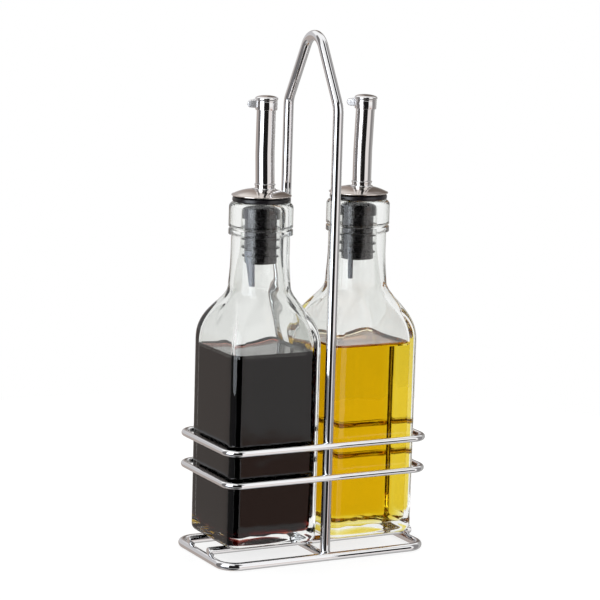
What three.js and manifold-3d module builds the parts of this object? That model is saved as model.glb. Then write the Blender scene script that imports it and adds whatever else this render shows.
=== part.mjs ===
// Cruet set: a chromed wire rack that carries two square glass bottles, one of vinegar and one of oil.
// Each bottle has a pull-out pourer whose spout closes with a small hinged cap.
// Millimetres, +Z up. The origin is on the table, under the middle of the rack. +X runs along the row
// of bottles and -Y is the front.
import * as THREE from 'three';
import { mergeVertices } from 'three/addons/utils/BufferGeometryUtils.js';
import Module from 'manifold-3d';

const wasm = await Module();
wasm.setup();

// ---------------------------------------------------------------- driving dimensions

const GAP = 0.3; // clearance between pieces that touch on the real object

const RACK = {
  frameLength: 110, // base frame, measured between wire centres
  frameDepth: 56,
  frameCorner: 8.6, // bend radius of the wire's centre line
  frameWire: 2, // wire radius
  ringLength: 108.4,
  ringDepth: 57.6,
  ringCorner: 7.6,
  ringWire: 1.6,
  ringHeights: { lower_ring: 41.8, upper_ring: 57.5 },
  railWire: 1.9, // the two rails that carry the bottles
  railSpread: 11, // each rail's distance from the middle
  railLength: 113,
  crossWire: 1.7, // the rod that crosses the frame under the handle
};

const HANDLE = {
  halfSpan: 25.7, // from the middle to the centre of each upright
  wire: 2.5,
  foot: 4.4, // underside of the feet
  shoulder: 218.3, // where the uprights start to lean in
  shoulderRadius: 10.4,
  lean: 31.3, // degrees
  apexRadius: 10.1,
  top: 254.1, // centre line at the apex
};

const BOTTLE = {
  spacing: 26.7, // each bottle's axis from the middle of the rack
  halfWidth: 24,
  corner: 5,
  wall: 3.6,
  innerCorner: 3.2,
  foot: 8.4,
  footRadius: 3.4,
  footFlat: 1.6, // width of the ring that the bottle stands on
  punt: 2, // rise of the underside in the middle
  floor: 13.6, // inside, at the edge of the floor
  floorRadius: 4,
  floorRise: 1.7,
  shoulderStart: 104.8,
  shoulderEnd: 133.2,
  shoulderDrop: 1.8, // the inner shoulder lies lower than the outer one by this
  neckRoot: 15.2, // outer radius where the shoulder meets the neck
  neck: 14.25,
  neckFoot: 14.55,
  neckFootHeight: 142.5,
  neckWaist: 150, // height at which the neck is straight
  collarUnder: 158.4,
  collar: 15.6,
  bead: 1.5, // half the height of the bead at the collar's foot
  beadWaist: 3.4, // from the collar's underside up to the groove over the bead
  grooveDepth: 0.5,
  mouth: 174,
  mouthRadius: 2.2,
  bore: 9.65,
  boreRadius: 1.6, // rounding of the bore's mouth
  boreFoot: 151.5,
};

const FILL_LEVEL = { vinegar: 102, oil: 103.6 };

const STOPPER = {
  rim: 14.1, // disc that lies on the bottle's lip
  rimHeight: 2.3,
  crown: 2.6, // how far the disc's top rises to the middle
  plug: 9.2,
  plugTop: 172.4,
  plugUnder: 166.6,
  core: 7.8,
  coreUnder: 144.7,
  coreRadius: 0.6,
  finThickness: 1.1,
  fins: [[161.2, 9.3], [156.9, 9.3], [152.7, 9.3], [148.5, 8.8]], // height and radius
};

const SPOUT = {
  offset: 1.5, // from the bottle's axis, towards the pouring side
  channel: 3.1,
  domeRim: 14.6,
  domeUnder: 177.1,
  domeTop: 180.3,
  sheet: 0.6,
  domeMiddle: 0.62, // share of the radius at which the dome changes slope
  domeMiddleRise: 0.68, // height there, as a share of the whole rise
  ferruleTop: 183.1,
  ferruleWall: 0.9,
  ferruleUnder: 168.9,
  ferruleFlange: 0.9, // beyond the tube's radius
  ferruleCollar: 0.4,
  ferruleSpigot: 4, // how far it reaches up inside the tube
  tubeFoot: 183.4,
  tube: 4.6,
  tubeWall: 0.55,
  tubeLength: 37.2,
  bendHeight: 14.3, // above the tube's foot
  bend: 1.8, // degrees, towards the pouring side
};

const HEAD = {
  radius: 5.3,
  under: -2.1, // from the tube's top end
  top: 2.6,
  mouth: 3.9,
  pinOut: 7.3, // hinge pin's distance from the head's axis
  pinHeight: 0.7,
  pin: 0.75,
  pinLength: 5.2,
  earRadius: 1.8,
  earInner: 1.5,
  earOuter: 2.4,
  cap: 5.6,
  capRise: 2.1,
  capRim: 0.6,
  knuckle: 1.6,
  knuckleHalf: 1.2,
  armLength: 4.2,
  armThickness: 1,
};

const VENT = {
  reach: 7.07, // from the bottle's axis to the middle of the tube
  top: 151,
  tipShift: 0.9,
};

// How each pourer stands in its bottle, in degrees.
const POSES = {
  vinegar: { side: -1, turn: -27.9, tubeLean: -1.5 },
  oil: { side: 1, turn: -48, tubeLean: 0 },
};

// The two vents differ. place is where the vent stands round the core and turn is how far its broad
// side is turned, in degrees. width and tipWidth are half widths, and flatness is thickness over width.
const VENTS = {
  vinegar: { place: -125, turn: 0, tip: 133.6, width: 2.25, tipWidth: 1.45, flatness: 0.56 },
  oil: { place: -94, turn: -70, tip: 135.4, width: 2.25, tipWidth: 1.45, flatness: 0.56 },
};

// ---------------------------------------------------------------- materials

function finish(color, roughness, metalness) {
  return new THREE.MeshStandardMaterial({ color, roughness, metalness });
}

const FINISH = {
  chrome: finish(0xd9dbdc, 0.08, 1),
  steel: finish(0xcfc9c4, 0.14, 1),
  glass: finish(0xe6eeea, 0.03, 0),
  vinegar: finish(0x1d1210, 0.1, 0),
  oil: finish(0xd2a800, 0.1, 0),
  stopper: finish(0x3c4152, 0.5, 0),
  vent: finish(0x8d96a8, 0.4, 0),
};

// ---------------------------------------------------------------- solid tools

const radians = THREE.MathUtils.degToRad;

function toSolid(geometry) {
  const bare = geometry.clone();
  bare.deleteAttribute('normal');
  bare.deleteAttribute('uv');
  const merged = mergeVertices(bare, 1e-4);
  return new wasm.Manifold(new wasm.Mesh({
    numProp: 3,
    vertProperties: new Float32Array(merged.attributes.position.array),
    triVerts: new Uint32Array(merged.index.array),
  }));
}

function fromSolid(solid) {
  const mesh = solid.getMesh();
  const geometry = new THREE.BufferGeometry();
  geometry.setAttribute('position', new THREE.BufferAttribute(mesh.vertProperties, 3));
  geometry.setIndex(new THREE.BufferAttribute(mesh.triVerts, 1));
  return geometry;
}

function cut(geometry, ...tools) {
  let solid = toSolid(geometry);
  for (const tool of tools) {
    solid = solid.subtract(toSolid(tool));
  }
  return fromSolid(solid);
}

function join(geometry, ...others) {
  let solid = toSolid(geometry);
  for (const other of others) {
    solid = solid.add(toSolid(other));
  }
  return fromSolid(solid);
}

function piece(name, geometry, material) {
  const mesh = new THREE.Mesh(geometry, material);
  mesh.name = name;
  return mesh;
}

// A solid of revolution about Z. The outline is a list of [radius, height], walked bottom to top
// outside, then top to bottom inside.
function turned(outline, sides, closed = false) {
  const points = outline.map(([r, z]) => new THREE.Vector2(r, z));
  if (closed) {
    points.push(points[0].clone());
  }
  return new THREE.LatheGeometry(points, sides).rotateX(Math.PI / 2);
}

// An upright round bar along Z, between two heights.
function bar(radius, low, high, sides = 16) {
  return new THREE.CylinderGeometry(radius, radius, high - low, sides)
    .rotateX(Math.PI / 2)
    .translate(0, 0, (low + high) / 2);
}

// ---------------------------------------------------------------- wire work

const FLAT_SHARE = 0.3; // half width of a wire's flat facets, as a share of its radius

// A bent wire is an extruded outline whose rounded-off edges make its section nearly round.
function wireFromOutline(outline, radius, cornerSteps) {
  const flat = radius * FLAT_SHARE;
  return new THREE.ExtrudeGeometry(outline, {
    steps: 1,
    depth: 2 * flat,
    bevelEnabled: true,
    bevelThickness: radius - flat,
    bevelSize: radius - flat,
    bevelSegments: 2,
    curveSegments: cornerSteps,
  }).translate(0, 0, -flat);
}

function roundedRectangle(path, length, depth, corner) {
  const x = length / 2 - corner;
  const y = depth / 2 - corner;
  path.moveTo(-x, -y - corner);
  path.lineTo(x, -y - corner);
  path.absarc(x, -y, corner, -Math.PI / 2, 0, false);
  path.absarc(x, y, corner, 0, Math.PI / 2, false);
  path.absarc(-x, y, corner, Math.PI / 2, Math.PI, false);
  path.absarc(-x, -y, corner, Math.PI, 1.5 * Math.PI, false);
  return path;
}

function wireLoop(length, depth, corner, radius) {
  const flat = radius * FLAT_SHARE;
  const outline = roundedRectangle(
    new THREE.Shape(), length + 2 * flat, depth + 2 * flat, corner + flat);
  outline.holes.push(roundedRectangle(
    new THREE.Path(), length - 2 * flat, depth - 2 * flat, corner - flat));
  return wireFromOutline(outline, radius, 3);
}

function wireRod(radius, length) {
  return new THREE.CylinderGeometry(radius, radius, length, 12);
}

// One side of the handle's band, offset from the centre line, from the right foot over the apex.
function handleSide(path, offset, reverse) {
  const lean = radians(HANDLE.lean);
  const bend = { x: HANDLE.halfSpan - HANDLE.shoulderRadius, y: HANDLE.shoulder };
  const apex = { x: 0, y: HANDLE.top - HANDLE.apexRadius };
  const bendRadius = HANDLE.shoulderRadius + offset;
  const apexRadius = HANDLE.apexRadius + offset;
  const foot = HANDLE.foot + HANDLE.wire * (1 - FLAT_SHARE);
  const arcs = [
    [bend.x, bend.y, bendRadius, 0, lean],
    [apex.x, apex.y, apexRadius, lean, Math.PI - lean],
    [-bend.x, bend.y, bendRadius, Math.PI - lean, Math.PI],
  ];
  if (!reverse) {
    path.moveTo(HANDLE.halfSpan + offset, foot);
    path.lineTo(HANDLE.halfSpan + offset, HANDLE.shoulder);
    for (const [x, y, radius, from, to] of arcs) {
      path.absarc(x, y, radius, from, to, false);
    }
    path.lineTo(-HANDLE.halfSpan - offset, foot);
    return;
  }
  path.lineTo(-HANDLE.halfSpan - offset, foot);
  for (const [x, y, radius, from, to] of arcs.reverse()) {
    path.absarc(x, y, radius, to, from, true);
  }
  path.lineTo(HANDLE.halfSpan + offset, foot);
}

function handleGeometry() {
  const flat = HANDLE.wire * FLAT_SHARE;
  const outline = new THREE.Shape();
  handleSide(outline, flat, false);
  handleSide(outline, -flat, true);
  const upright = new THREE.Matrix4().makeBasis(
    new THREE.Vector3(0, 1, 0), new THREE.Vector3(0, 0, 1), new THREE.Vector3(1, 0, 0));
  return wireFromOutline(outline, HANDLE.wire, 4).applyMatrix4(upright);
}

// The seats that the welded rings have where they meet the handle's uprights.
function uprightSeats(height) {
  return [-1, 1].map((side) => bar(HANDLE.wire + GAP, height - 5, height + 5, 16)
    .translate(0, side * HANDLE.halfSpan, 0));
}

function makeRack() {
  const rack = new THREE.Group();
  const frame = wireLoop(RACK.frameLength, RACK.frameDepth, RACK.frameCorner, RACK.frameWire);
  const baseFrame = piece('base_frame', frame, FINISH.chrome);
  baseFrame.position.z = RACK.frameWire;
  rack.add(baseFrame);

  const crossLength = RACK.frameDepth - 2 * (RACK.frameWire + GAP);
  const crossRod = piece('cross_rod', wireRod(RACK.crossWire, crossLength), FINISH.chrome);
  crossRod.position.z = RACK.frameWire;
  rack.add(crossRod);

  for (const [name, side] of [['front_rail', -1], ['back_rail', 1]]) {
    const rail = piece(name, wireRod(RACK.railWire, RACK.railLength), FINISH.chrome);
    rail.rotation.z = Math.PI / 2;
    rail.position.set(0, side * RACK.railSpread, 2 * RACK.frameWire + GAP + RACK.railWire);
    rack.add(rail);
  }

  for (const [name, height] of Object.entries(RACK.ringHeights)) {
    const loop = wireLoop(RACK.ringLength, RACK.ringDepth, RACK.ringCorner, RACK.ringWire);
    const ring = cut(loop.translate(0, 0, height), ...uprightSeats(height));
    rack.add(piece(name, ring, FINISH.chrome));
  }

  rack.add(piece('handle', handleGeometry(), FINISH.chrome));
  return rack;
}

// ---------------------------------------------------------------- bottles

const CORNER_STEPS = 4;
const COLUMNS = 4 * (CORNER_STEPS + 2);

// The places of a bottle's upright columns round a rounded square: the middle of each side, and
// the points of each corner's arc.
function squareColumns(halfWidth, corner) {
  const places = [];
  for (let quarter = 0; quarter < 4; quarter += 1) {
    const turn = quarter * Math.PI / 2;
    places.push(new THREE.Vector2(halfWidth, 0).rotateAround(new THREE.Vector2(), turn));
    for (let step = 0; step <= CORNER_STEPS; step += 1) {
      const angle = step / CORNER_STEPS * Math.PI / 2;
      const place = new THREE.Vector2(
        halfWidth - corner + corner * Math.cos(angle),
        halfWidth - corner + corner * Math.sin(angle));
      places.push(place.rotateAround(new THREE.Vector2(), turn));
    }
  }
  return places;
}

function roundColumns(radius) {
  const places = [];
  for (let column = 0; column < COLUMNS; column += 1) {
    const angle = column / COLUMNS * 2 * Math.PI;
    places.push(new THREE.Vector2(radius * Math.cos(angle), radius * Math.sin(angle)));
  }
  return places;
}

// A closed solid whose section changes from a rounded square to a circle. Each level is
// { z, half, corner, round }: round is 0 for the square and 1 for the circle. The first and last
// levels lie on the axis.
function squareTurned(levels) {
  const outline = levels.map((level) => [level.half, level.z]);
  const geometry = turned(outline, COLUMNS);
  const position = geometry.attributes.position;
  levels.forEach((level, row) => {
    if (level.half === 0) {
      return;
    }
    const corner = Math.min(level.corner, level.half);
    const square = squareColumns(level.half, corner);
    const circle = roundColumns(level.half);
    for (let column = 0; column <= COLUMNS; column += 1) {
      const place = square[column % COLUMNS].clone().lerp(circle[column % COLUMNS], level.round);
      position.setXYZ(column * levels.length + row, place.x, place.y, level.z);
    }
  });
  return geometry;
}

// One level of a bottle's shoulder: share runs from 0 at the body to 1 at the neck.
function shoulderLevel(share, body, corner, neck, start, end) {
  const eased = THREE.MathUtils.smoothstep(share ** 1.28, 0, 1);
  return {
    z: THREE.MathUtils.lerp(start, end, share),
    half: THREE.MathUtils.lerp(body, neck, eased),
    corner,
    round: eased ** 2.76,
  };
}

function roundLevel(half, z) {
  return { z, half, corner: half, round: 1 };
}

function arcLevels(centreHalf, centreZ, radius, fromDegrees, toDegrees, steps, shape) {
  const levels = [];
  for (let step = 0; step <= steps; step += 1) {
    const angle = radians(THREE.MathUtils.lerp(fromDegrees, toDegrees, step / steps));
    levels.push({
      z: centreZ + radius * Math.sin(angle),
      half: centreHalf + radius * Math.cos(angle),
      corner: shape.corner,
      round: shape.round,
    });
  }
  return levels;
}

const SHOULDER_SHARES = [0, 0.22, 0.4, 0.55, 0.7, 0.85, 1];

function bottleOutside() {
  const { halfWidth, corner, foot, footRadius, punt } = BOTTLE;
  const { collar, collarUnder, bead, beadWaist, grooveDepth, mouth, mouthRadius } = BOTTLE;
  const square = { corner, round: 0 };
  const standing = halfWidth - footRadius;
  return [
    { z: foot + punt, half: 0, corner, round: 0 },
    { z: foot + 0.8 * punt, half: 0.5 * halfWidth, corner, round: 0 },
    { z: foot, half: standing - BOTTLE.footFlat, corner, round: 0 },
    ...arcLevels(standing, foot + footRadius, footRadius, -90, 0, 2, square),
    ...SHOULDER_SHARES.map((share) => shoulderLevel(
      share, halfWidth, corner, BOTTLE.neckRoot, BOTTLE.shoulderStart, BOTTLE.shoulderEnd)),
    roundLevel(BOTTLE.neckFoot, BOTTLE.neckFootHeight),
    roundLevel(BOTTLE.neck, BOTTLE.neckWaist),
    roundLevel(BOTTLE.neck, collarUnder),
    roundLevel(collar - grooveDepth, collarUnder),
    roundLevel(collar, collarUnder + bead),
    roundLevel(collar - grooveDepth, collarUnder + beadWaist),
    roundLevel(collar, collarUnder + beadWaist + grooveDepth),
    ...arcLevels(
      collar - mouthRadius, mouth - mouthRadius, mouthRadius, 0, 90, 2, { corner: 0, round: 1 }),
  ];
}

// The inside of the bottle's floor, from the wall to just before the middle.
function floorLevels(half, corner, lift, from, to) {
  const { floor, floorRadius, floorRise } = BOTTLE;
  const square = { corner, round: 0 };
  const rounding = arcLevels(
    half - floorRadius, floor + floorRadius + lift, floorRadius, from, to, 2, square);
  return {
    rounding,
    slope: { z: floor + 0.75 * floorRise + lift, half: 0.5 * half, corner, round: 0 },
    middle: { z: floor + floorRise + lift, half: 0, corner, round: 0 },
  };
}

function bottleInside() {
  const { halfWidth, wall, bore, boreRadius, mouth, shoulderStart, shoulderEnd } = BOTTLE;
  const half = halfWidth - wall;
  const corner = BOTTLE.innerCorner;
  const drop = BOTTLE.shoulderDrop;
  const neckRoot = BOTTLE.neckRoot - wall;
  const floor = floorLevels(half, corner, 0, 0, -90);
  return [
    ...arcLevels(
      bore + boreRadius, mouth - boreRadius, boreRadius, 90, 180, 2, { corner: 0, round: 1 }),
    roundLevel(bore, BOTTLE.boreFoot),
    ...[...SHOULDER_SHARES].reverse().map((share) => shoulderLevel(
      share, half, corner, neckRoot, shoulderStart - drop, shoulderEnd - drop)),
    ...floor.rounding,
    floor.slope,
    floor.middle,
  ];
}

// The liquid stands a hair away from the glass all round.
function fillGeometry(level) {
  const half = BOTTLE.halfWidth - BOTTLE.wall - GAP;
  const corner = BOTTLE.innerCorner - GAP;
  const floor = floorLevels(half, corner, GAP, -90, 0);
  return squareTurned([
    floor.middle,
    floor.slope,
    ...floor.rounding,
    { z: level, half, corner, round: 0 },
    { z: level, half: 0, corner, round: 0 },
  ]);
}

function makeBottle(name) {
  const bottle = new THREE.Group();
  const glass = squareTurned([...bottleOutside(), ...bottleInside()]);
  bottle.add(piece(`${name}_bottle`, glass, FINISH.glass));
  bottle.add(piece(`${name}_fill`, fillGeometry(FILL_LEVEL[name]), FINISH[name]));
  return bottle;
}

// ---------------------------------------------------------------- pourers

function ventGeometry(extra, { place, turn, tip, width, tipWidth, flatness }) {
  const length = VENT.top - tip + 2 * extra;
  const geometry = new THREE.CylinderGeometry(
    width + extra, tipWidth + extra, length, 12).rotateX(Math.PI / 2);
  const thin = (width * flatness + extra) / (width + extra);
  const slant = new THREE.Matrix4().set(
    1, 0, -VENT.tipShift / length, 0,
    0, thin, 0, 0,
    0, 0, 1, 0,
    0, 0, 0, 1);
  const x = VENT.reach * Math.cos(radians(place));
  const y = VENT.reach * Math.sin(radians(place));
  return geometry.applyMatrix4(slant).rotateZ(radians(turn))
    .translate(x, y, (VENT.top + tip) / 2);
}

function finLevels([height, radius]) {
  const half = STOPPER.finThickness / 2;
  return [
    [STOPPER.core, height - half],
    [radius, height - 0.3 * half],
    [radius, height + 0.3 * half],
    [STOPPER.core, height + half],
  ];
}

function stopperGeometry(vent) {
  const rimUnder = BOTTLE.mouth + GAP;
  const rimTop = rimUnder + STOPPER.rimHeight;
  const socket = SPOUT.channel + 1.5;
  const body = turned([
    [0, STOPPER.coreUnder],
    [STOPPER.core - STOPPER.coreRadius, STOPPER.coreUnder],
    [STOPPER.core, STOPPER.coreUnder + STOPPER.coreRadius],
    ...[...STOPPER.fins].reverse().flatMap(finLevels),
    [STOPPER.core, STOPPER.plugUnder],
    [STOPPER.plug, STOPPER.plugUnder + 0.4],
    [STOPPER.plug, STOPPER.plugTop],
    [STOPPER.plug - 0.6, rimUnder],
    [STOPPER.rim - 0.5, rimUnder],
    [STOPPER.rim, rimUnder + 0.6],
    [STOPPER.rim - 0.5, rimTop],
    [SPOUT.channel + 3, rimTop + STOPPER.crown],
    [0, rimTop + STOPPER.crown],
  ], 20);
  const channel = bar(SPOUT.channel, STOPPER.coreUnder - 5, STOPPER.plugTop)
    .translate(SPOUT.offset, 0, 0);
  const counterbore = bar(socket, STOPPER.plugTop - 4, SPOUT.domeTop + 5)
    .translate(SPOUT.offset, 0, 0);
  return cut(body, channel, counterbore, ventGeometry(GAP, vent));
}

function domeGeometry() {
  const { domeRim, domeUnder, domeTop, sheet } = SPOUT;
  const hole = SPOUT.channel + SPOUT.ferruleWall + GAP;
  const middle = SPOUT.domeMiddle;
  const rise = domeTop - domeUnder - sheet;
  const middleRise = rise * SPOUT.domeMiddleRise;
  const dome = turned([
    [hole, domeTop - sheet],
    [domeRim * middle, domeUnder + middleRise],
    [domeRim - sheet, domeUnder],
    [domeRim, domeUnder],
    [domeRim, domeUnder + sheet],
    [domeRim * middle, domeUnder + sheet + middleRise],
    [hole, domeTop],
  ], 28, true);
  const solid = turned([
    [0, domeTop - sheet],
    [hole, domeTop - sheet],
    [hole, domeTop],
    [0, domeTop],
  ], 28);
  const spigotHole = bar(hole, domeUnder, domeTop + 5, 20).translate(SPOUT.offset, 0, 0);
  return cut(join(dome, solid), spigotHole);
}

function ferruleGeometry() {
  const { channel, ferruleTop, domeTop, tube, tubeWall } = SPOUT;
  const spigot = channel + SPOUT.ferruleWall;
  const flangeUnder = domeTop + GAP;
  const flange = tube + SPOUT.ferruleFlange;
  const collar = tube + SPOUT.ferruleCollar;
  const inside = tube - tubeWall - GAP;
  return turned([
    [channel, SPOUT.ferruleUnder],
    [spigot, SPOUT.ferruleUnder],
    [spigot, flangeUnder],
    [flange, flangeUnder],
    [flange, flangeUnder + SPOUT.sheet],
    [collar, flangeUnder + 2 * SPOUT.sheet],
    [collar, ferruleTop],
    [inside, ferruleTop],
    [inside, ferruleTop + SPOUT.ferruleSpigot],
    [channel, ferruleTop + SPOUT.ferruleSpigot],
  ], 20, true);
}

// How far the tube's axis has bent aside at a height above its foot.
function bendShift(height) {
  return Math.max(0, height - SPOUT.bendHeight) * Math.tan(radians(SPOUT.bend));
}

function tubeGeometry() {
  const { tube, tubeWall, tubeLength, bendHeight } = SPOUT;
  const heights = [0, bendHeight, tubeLength];
  const outside = heights.map((height) => [tube, height]);
  const inside = [...heights].reverse().map((height) => [tube - tubeWall, height]);
  const geometry = turned([...outside, ...inside], 24, true);
  const position = geometry.attributes.position;
  for (let i = 0; i < position.count; i += 1) {
    position.setX(i, position.getX(i) + bendShift(position.getZ(i)));
  }
  return geometry;
}

// A flat plate in the XZ plane with a round end at the hinge pin, between two values of y.
function hingePlate(radius, reach, low, high, fromY, toY, hole) {
  const shape = new THREE.Shape();
  const { pinOut, pinHeight } = HEAD;
  shape.moveTo(-pinOut, pinHeight - radius);
  shape.lineTo(reach, low);
  shape.lineTo(reach, high);
  shape.lineTo(-pinOut, pinHeight + radius);
  shape.absarc(-pinOut, pinHeight, radius, Math.PI / 2, 1.5 * Math.PI, false);
  if (hole > 0) {
    shape.holes.push(new THREE.Path().absarc(-pinOut, pinHeight, hole, 0, 2 * Math.PI, true));
  }
  return new THREE.ExtrudeGeometry(shape, {
    depth: toY - fromY, bevelEnabled: false, curveSegments: 5,
  }).rotateX(Math.PI / 2).translate(0, toY, 0);
}

function headGeometry() {
  const { radius, under, top, mouth } = HEAD;
  const socket = SPOUT.tube + GAP;
  const collar = turned([
    [socket, under],
    [radius, under],
    [radius, top],
    [mouth, top],
    [mouth, GAP],
    [socket, GAP],
  ], 24, true);
  const ears = [-1, 1].map((side) => {
    const low = side < 0 ? -HEAD.earOuter : HEAD.earInner;
    const high = side < 0 ? -HEAD.earInner : HEAD.earOuter;
    return hingePlate(
      HEAD.earRadius, -4.7, HEAD.under + 0.9, top - 0.2, low, high, HEAD.pin + GAP);
  });
  return join(collar, ...ears);
}

function capGeometry() {
  const { cap, capRise, capRim, knuckleHalf, top } = HEAD;
  const under = top + GAP;
  const lid = turned([
    [0, under],
    [cap - 0.3, under],
    [cap, under + 0.3],
    [cap, under + capRim],
    [0.66 * cap, under + capRim + 0.55 * (capRise - capRim)],
    [0.33 * cap, under + capRim + 0.88 * (capRise - capRim)],
    [0, under + capRise],
  ], 24);
  const { armLength, armThickness } = HEAD;
  const arm = new THREE.BoxGeometry(armLength, 2 * knuckleHalf, armThickness)
    .translate(-HEAD.pinOut + armLength / 2, 0, under + armThickness / 2);
  const knuckle = hingePlate(
    HEAD.knuckle, -HEAD.pinOut + 0.8, HEAD.pinHeight, under + 0.8, -knuckleHalf, knuckleHalf, 0);
  const pinHole = new THREE.CylinderGeometry(
    HEAD.pin + GAP, HEAD.pin + GAP, 10, 16).translate(-HEAD.pinOut, 0, HEAD.pinHeight);
  const collarRoom = bar(HEAD.radius + GAP, HEAD.under, under, 24);
  return cut(join(lid, arm, knuckle), pinHole, collarRoom);
}

function makePourer(name) {
  const { turn, tubeLean } = POSES[name];
  const pourer = new THREE.Group();
  pourer.rotation.z = radians(turn);
  pourer.add(piece(
    `${name}_stopper`, stopperGeometry(VENTS[name]), FINISH.stopper));
  pourer.add(piece(
    `${name}_vent_tube`, ventGeometry(0, VENTS[name]), FINISH.vent));
  pourer.add(piece(`${name}_pourer_dome`, domeGeometry(), FINISH.steel));
  const ferrule = piece(`${name}_ferrule`, ferruleGeometry(), FINISH.chrome);
  ferrule.position.x = SPOUT.offset;
  pourer.add(ferrule);

  const spout = new THREE.Group();
  spout.position.set(SPOUT.offset, 0, SPOUT.tubeFoot);
  spout.rotation.y = radians(tubeLean);
  spout.add(piece(`${name}_spout_tube`, tubeGeometry(), FINISH.chrome));
  pourer.add(spout);

  const head = new THREE.Group();
  head.name = `${name}_head_frame`;
  head.position.set(bendShift(SPOUT.tubeLength), 0, SPOUT.tubeLength);
  head.rotation.y = radians(SPOUT.bend);
  head.add(piece(`${name}_spout_head`, headGeometry(), FINISH.chrome));
  const pin = piece(
    `${name}_hinge_pin`,
    new THREE.CylinderGeometry(HEAD.pin, HEAD.pin, HEAD.pinLength, 12),
    FINISH.chrome);
  pin.position.set(-HEAD.pinOut, 0, HEAD.pinHeight);
  head.add(pin);
  head.add(piece(`${name}_flip_cap`, capGeometry(), FINISH.chrome));
  spout.add(head);
  return pourer;
}

// ---------------------------------------------------------------- assembly

const group = new THREE.Group();
group.add(makeRack());
for (const name of ['vinegar', 'oil']) {
  const cruet = new THREE.Group();
  cruet.position.x = POSES[name].side * BOTTLE.spacing;
  cruet.add(makeBottle(name), makePourer(name));
  group.add(cruet);
}

export default group;
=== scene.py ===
"""The looks of the cruet set: chromed wire rack, two glass bottles, vinegar, oil and two pourers.

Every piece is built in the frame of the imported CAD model, in metres, and rides on one of its bodies.
"""

import math

import bpy
from mathutils import Matrix, Vector


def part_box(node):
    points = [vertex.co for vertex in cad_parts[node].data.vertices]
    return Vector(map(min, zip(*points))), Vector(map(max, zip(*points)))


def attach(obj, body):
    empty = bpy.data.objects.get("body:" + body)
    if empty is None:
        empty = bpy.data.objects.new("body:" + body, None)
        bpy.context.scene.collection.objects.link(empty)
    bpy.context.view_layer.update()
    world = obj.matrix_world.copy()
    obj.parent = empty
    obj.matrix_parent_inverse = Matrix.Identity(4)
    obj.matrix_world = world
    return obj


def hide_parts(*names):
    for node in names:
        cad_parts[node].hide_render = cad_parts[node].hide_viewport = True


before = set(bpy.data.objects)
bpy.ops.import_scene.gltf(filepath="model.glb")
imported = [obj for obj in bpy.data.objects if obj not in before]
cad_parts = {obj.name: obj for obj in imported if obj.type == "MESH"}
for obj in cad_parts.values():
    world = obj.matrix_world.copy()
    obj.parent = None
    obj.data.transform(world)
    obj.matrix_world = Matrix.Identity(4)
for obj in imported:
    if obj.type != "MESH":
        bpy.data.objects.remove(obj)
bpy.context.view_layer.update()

MM = 0.001
CRUETS = ("vinegar", "oil")

# The dimensions that the boxes of the CAD nodes don't give are in millimetres here and below.

# The rack's bends. The handle's uprights lean together from HANDLE_SHOULDER up.
FRAME_CORNER = 8.6
RING_CORNER = 7.6
HANDLE_SHOULDER = 218.3
HANDLE_SHOULDER_RADIUS = 10.4
HANDLE_LEAN = 31.3  # degrees
HANDLE_APEX_RADIUS = 10.1

# The bottles. Heights are above the table.
WALL = 3.6
BODY_CORNER = 5.0
INNER_CORNER = 3.2
FOOT_RADIUS = 3.4
PUNT = 2.0
FLOOR = 13.6
FLOOR_RADIUS = 4.0
FLOOR_RISE = 1.7
SHOULDER = (104.8, 133.2)
INNER_DROP = 1.8
NECK_ROOT = 15.2
NECK = 14.25
COLLAR = 15.6
COLLAR_UNDER = 158.4
BORE = 9.65
MENISCUS = 1.5  # how high the liquid's edge climbs the glass
MENISCUS_WIDTH = 1.3
FILM = 0.02  # between the visible liquid and the glass
SKIN = 0.3  # the liquid's top begins this far under its level
LOBES = 0.35  # how far the glass is uneven round the neck's foot
RIPPLE = 0.45  # and how far at the floor

# Where the spout stands, how its tube bends, and where the hinge's pin is from the tube's top.
SPOUT_OFFSET = 1.5
TUBE_FOOT = 183.4
TUBE_LENGTH = 37.2
BEND_HEIGHT = 14.3
BEND = math.radians(1.8)
PIN_OUT = 7.3
PIN_HEIGHT = 0.7

# How each pourer stands in its bottle, in degrees.
POSES = {
    "vinegar": {"turn": -27.9, "lean": -1.5},
    "oil": {"turn": -48.0, "lean": 0.0},
}

# The vents: place and turn are in degrees, width and tip_width are half widths, flatness is thickness
# over width, and VENT_REACH is how far from the bottle's axis they stand.
VENT_REACH = 7.07
VENT_TOP = 151.0
VENT_SHIFT = 0.9
VENTS = {
    "vinegar": {"place": -125, "turn": 0, "tip": 133.6, "width": 2.25, "tip_width": 1.45, "flatness": 0.56},
    "oil": {"place": -94, "turn": -70, "tip": 135.4, "width": 1.55, "tip_width": 1.4, "flatness": 0.85},
}


# ------------------------------------------------------------------------------ node helpers


def new_material(name):
    material = bpy.data.materials.new(name)
    material.use_nodes = True
    tree = material.node_tree
    tree.nodes.clear()
    return material, tree


def node(tree, kind, values=None, **settings):
    made = tree.nodes.new("ShaderNode" + kind)
    for key, value in settings.items():
        setattr(made, key, value)
    for key, value in (values or {}).items():
        made.inputs[key].default_value = value
    return made


def link(tree, source, target, output=0, to=0):
    tree.links.new(source.outputs[output], target.inputs[to])


def noise(tree, scale, detail=4.0):
    """A noise texture on the piece's own coordinates. scale is in features per metre."""
    coordinates = node(tree, "TexCoord")
    texture = node(tree, "TexNoise", {"Scale": scale, "Detail": detail, "Roughness": 0.55})
    link(tree, coordinates, texture, "Object", "Vector")
    return texture


def spread(tree, source, low, high):
    """Maps a noise value, which mostly lies between 0.3 and 0.7, to one between low and high."""
    ramp = node(tree, "MapRange", {"From Min": 0.3, "From Max": 0.7, "To Min": low, "To Max": high})
    link(tree, source, ramp, 0, "Value")
    return ramp


def bump(tree, source, strength, distance):
    made = node(tree, "Bump", {"Strength": strength, "Distance": distance})
    link(tree, source, made, 0, "Height")
    return made


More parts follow.
